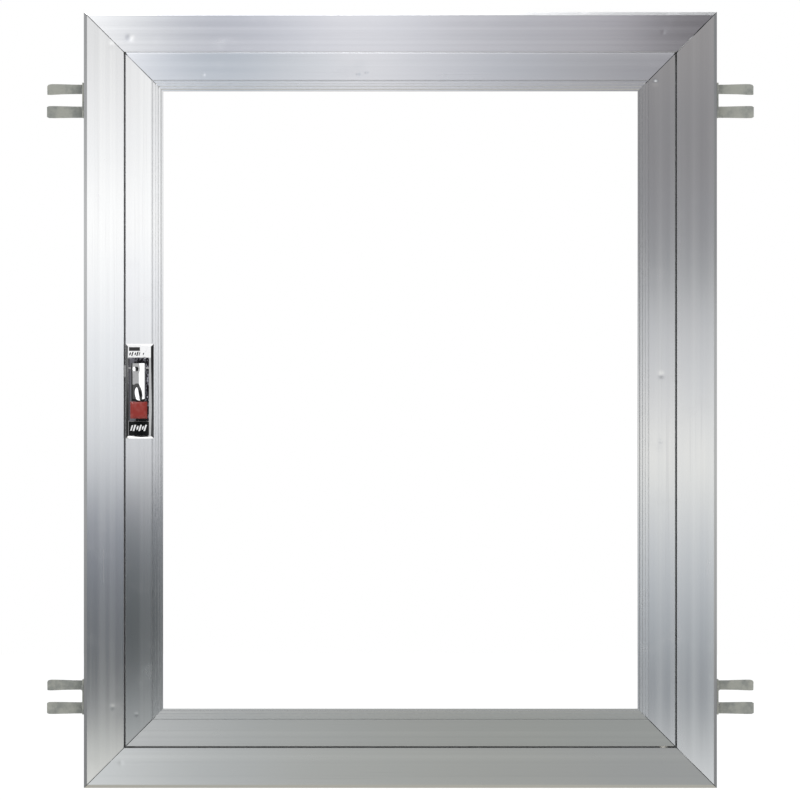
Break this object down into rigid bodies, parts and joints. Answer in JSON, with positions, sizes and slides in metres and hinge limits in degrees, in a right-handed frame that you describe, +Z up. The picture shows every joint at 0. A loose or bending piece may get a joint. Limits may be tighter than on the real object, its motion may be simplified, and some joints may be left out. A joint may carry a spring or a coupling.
{
  "type": "wall cabinet door frame",
  "caption": "Mitred aluminium wall surround with a hinged open door leaf, a push-button paddle latch with a spring bolt, and forked masonry anchors.",
  "frame": {"origin": "centre of the frame's outline on the plane of its back lips", "axes": "+Z up along the longer side, +X to the right seen from the front, +Y into the wall; the front faces -Y"},
  "size_m": [0.7302, 0.0272, 0.8],
  "materials": {
    "extruded_aluminium": "satin mill-finish extrusion with fine lengthwise die lines",
    "cast_aluminium": "dull grey die casting",
    "galvanised_sheet": "dull grey-green galvanised sheet with stains",
    "zinc_plate": "bright zinc plating",
    "bright_steel": "bright drawn steel",
    "chrome": "mirror chrome on a zinc casting",
    "nylon": "natural nylon",
    "red_plastic": "moulded red plastic"
  },
  "bodies": {
    "surround": {"surround_left_stile": "extruded_aluminium", "surround_right_stile": "extruded_aluminium", "surround_top_rail": "extruded_aluminium", "surround_bottom_rail": "extruded_aluminium", "surround_key_top_left": "cast_aluminium", "surround_key_top_right": "cast_aluminium", "surround_key_bottom_left": "cast_aluminium", "surround_key_bottom_right": "cast_aluminium", "wall_anchor_top_left": "galvanised_sheet", "wall_anchor_top_right": "galvanised_sheet", "wall_anchor_bottom_left": "galvanised_sheet", "wall_anchor_bottom_right": "galvanised_sheet", "anchor_rivet_top_left_1": "bright_steel", "anchor_rivet_top_left_2": "bright_steel", "anchor_rivet_top_right_1": "bright_steel", "anchor_rivet_top_right_2": "bright_steel", "anchor_rivet_bottom_left_1": "bright_steel", "anchor_rivet_bottom_left_2": "bright_steel", "anchor_rivet_bottom_right_1": "bright_steel", "anchor_rivet_bottom_right_2": "bright_steel", "strike_plate": "zinc_plate", "strike_screw_1": "bright_steel", "strike_screw_2": "bright_steel", "pivot_block_top": "cast_aluminium", "pivot_block_bottom": "cast_aluminium", "pivot_pin_top": "bright_steel", "pivot_pin_bottom": "bright_steel", "pivot_screw_top": "bright_steel", "pivot_screw_bottom": "bright_steel"},
    "door": {"door_left_stile": "extruded_aluminium", "door_right_stile": "extruded_aluminium", "door_top_rail": "extruded_aluminium", "door_bottom_rail": "extruded_aluminium", "door_bead_left": "extruded_aluminium", "door_bead_right": "extruded_aluminium", "door_bead_top": "extruded_aluminium", "door_bead_bottom": "extruded_aluminium", "door_key_top_left": "cast_aluminium", "door_key_top_right": "cast_aluminium", "door_key_bottom_left": "cast_aluminium", "door_key_bottom_right": "cast_aluminium", "pivot_bush_top": "nylon", "pivot_bush_bottom": "nylon", "latch_body": "chrome", "latch_clamp": "zinc_plate", "clamp_screw_1": "bright_steel", "clamp_screw_2": "bright_steel", "paddle_pin": "bright_steel", "paddle_spring": "bright_steel", "button_spring": "bright_steel", "bolt_spring": "bright_steel"},
    "paddle": {"latch_paddle": "chrome"},
    "button": {"latch_button": "red_plastic", "button_clip": "bright_steel"},
    "bolt": {"latch_bolt": "zinc_plate"}
  },
  "joints": [
    {"name": "door_hinge", "type": "hinge", "parent": "surround", "child": "door", "pos_m": [0.2713, -0.0195, 0], "axis": [0, 0, 1], "range_deg": [0, 120]},
    {"name": "paddle_hinge", "type": "hinge", "parent": "door", "child": "paddle", "pos_m": [-0.2696, -0.0235, 0.033], "axis": [-1, 0, 0], "range_deg": [0, 35], "stiffness_Nm_per_rad": 0.07, "springref_deg": -20.05, "deforming": ["paddle_spring"]},
    {"name": "button_press", "type": "slide", "parent": "door", "child": "button", "axis": [0, 1, 0], "range_m": [0, 0.003], "stiffness_N_per_m": 800, "springref_m": -0.002, "deforming": ["button_spring"]},
    {"name": "bolt_slide", "type": "slide", "parent": "door", "child": "bolt", "axis": [1, 0, 0], "range_m": [0, 0.0063], "deforming": ["bolt_spring"]}
  ],
  "couplings": [
    {"joint": "bolt_slide", "follows": "paddle_hinge", "m_per_rad": 0.0103}
  ]
}
